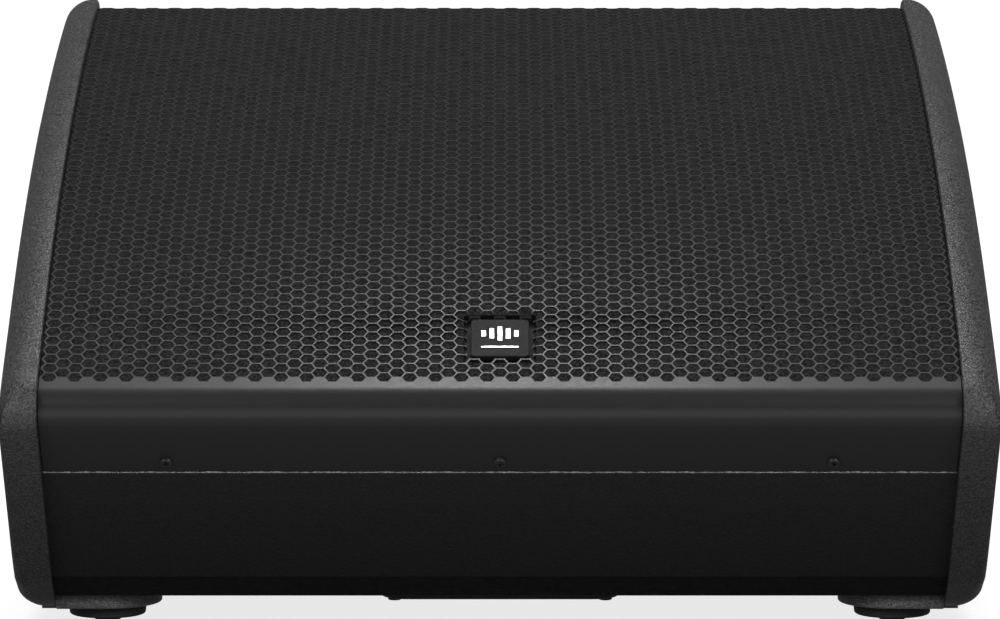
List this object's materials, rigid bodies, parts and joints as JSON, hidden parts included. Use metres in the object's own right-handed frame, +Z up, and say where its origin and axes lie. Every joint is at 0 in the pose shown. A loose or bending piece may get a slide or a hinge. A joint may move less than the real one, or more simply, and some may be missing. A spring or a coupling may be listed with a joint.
{
  "type": "stage monitor wedge",
  "caption": "Low wedge-shaped powered stage monitor with a curved hex-perforated grille folded over the nose, textured end cheeks, rubber feet, base handle and rear amplifier tray.",
  "frame": {"origin": "on the floor, under the centre of the overall box", "axes": "+Z up, the nose and grille lip face -Y, +X to the right seen from the front"},
  "size_m": [0.51, 0.4849, 0.3154],
  "materials": {
    "cheek_paint": "textured black paint",
    "panel_paint": "fine textured black paint",
    "grille_steel": "satin black powder coat",
    "black_fixings": "black oxide",
    "acoustic_foam": "open cell foam",
    "badge_plastic": "satin",
    "badge_silver": "satin",
    "polyester_wadding": "fibrous",
    "cast_basket": "black cast",
    "surround_rubber": "matt",
    "paper_cone": "pressed paper",
    "former_aluminium": "plain",
    "coil_wire": "enamelled",
    "spider_cloth": "resin cloth",
    "magnet_steel": "zinc plated",
    "ferrite": "sintered",
    "horn_aluminium": "black",
    "black_plastic": "moulded",
    "brass_contacts": "plated",
    "tray_steel": "satin black powder coat",
    "heatsink_aluminium": "black anodised",
    "zinc_steel": "zinc",
    "board_laminate": "laminate",
    "capacitor_sleeve": "sleeve",
    "rocker_plastic": "moulded",
    "socket_metal": "black nickel",
    "knob_plastic": "soft touch",
    "button_plastic": "moulded",
    "light_lens": "translucent",
    "lead_sheath": "sheath",
    "foot_rubber": "matt"
  },
  "bodies": {
    "cabinet": {"left_cheek": "cheek_paint", "right_cheek": "cheek_paint", "baffle": "panel_paint", "rear_panel": "panel_paint", "base_panel": "panel_paint", "front_panel": "panel_paint", "grille": "grille_steel", "battens": "panel_paint", "grille_screws": "black_fixings", "grille_foam": "acoustic_foam", "badge_backing": "badge_plastic", "badge_plate": "badge_plastic", "badge_mark": "badge_silver", "wadding": "polyester_wadding", "woofer_basket": "cast_basket", "woofer_surround": "surround_rubber", "woofer_gasket": "surround_rubber", "woofer_spider": "spider_cloth", "top_plate": "magnet_steel", "ring_magnet": "ferrite", "back_plate": "magnet_steel", "treble_horn": "horn_aluminium", "treble_magnet": "ferrite", "treble_diaphragm": "former_aluminium", "treble_cover": "black_plastic", "driver_screws": "black_fixings", "terminal_strip": "brass_contacts", "port_tubes": "black_plastic", "control_plate": "tray_steel", "plate_gasket": "surround_rubber", "plate_screws": "black_fixings", "heatsink": "heatsink_aluminium", "amp_chassis": "zinc_steel", "circuit_board": "board_laminate", "power_transformer": "coil_wire", "reservoir_capacitors": "capacitor_sleeve", "mains_inlet": "black_plastic", "contacts": "brass_contacts", "rocker_frame": "black_plastic", "input_socket": "socket_metal", "link_socket": "socket_metal", "socket_screws": "black_fixings", "potentiometers": "zinc_steel", "button_collar": "black_plastic", "status_lights": "light_lens", "speaker_lead": "lead_sheath", "handle_cup": "black_plastic", "handle_screws": "black_fixings", "foot_plates": "cheek_paint", "rubber_feet": "foot_rubber", "foot_screws": "black_fixings", "input_insert": "black_plastic"},
    "moving_coil": {"woofer_cone": "paper_cone", "coil_former": "former_aluminium", "voice_coil": "coil_wire"},
    "level_control": {"level_knob": "knob_plastic"},
    "tone_control": {"tone_knob": "knob_plastic"},
    "mode_switch": {"mode_button": "button_plastic"},
    "power_switch": {"power_rocker": "rocker_plastic"}
  },
  "joints": [
    {"name": "cone_travel", "type": "slide", "parent": "cabinet", "child": "moving_coil", "axis": [0, -0.3471, 0.9378], "range_m": [-0.005, 0.005], "stiffness_N_per_m": 4500, "deforming": ["woofer_surround", "woofer_spider"]},
    {"name": "level_turn", "type": "hinge", "parent": "cabinet", "child": "level_control", "pos_m": [-0.092, 0.18483, 0.15298], "axis": [0, 0.9781, -0.2079], "range_deg": [-150, 150]},
    {"name": "tone_turn", "type": "hinge", "parent": "cabinet", "child": "tone_control", "pos_m": [-0.128, 0.18483, 0.15298], "axis": [0, 0.9781, -0.2079], "range_deg": [-150, 150]},
    {"name": "mode_press", "type": "slide", "parent": "cabinet", "child": "mode_switch", "axis": [0, -0.9781, 0.2079], "range_m": [0, 0.0018], "stiffness_N_per_m": 400},
    {"name": "power_rock", "type": "hinge", "parent": "cabinet", "child": "power_switch", "pos_m": [0.122, 0.18218, 0.15253], "axis": [1, 0, 0], "range_deg": [0, 20]}
  ]
}
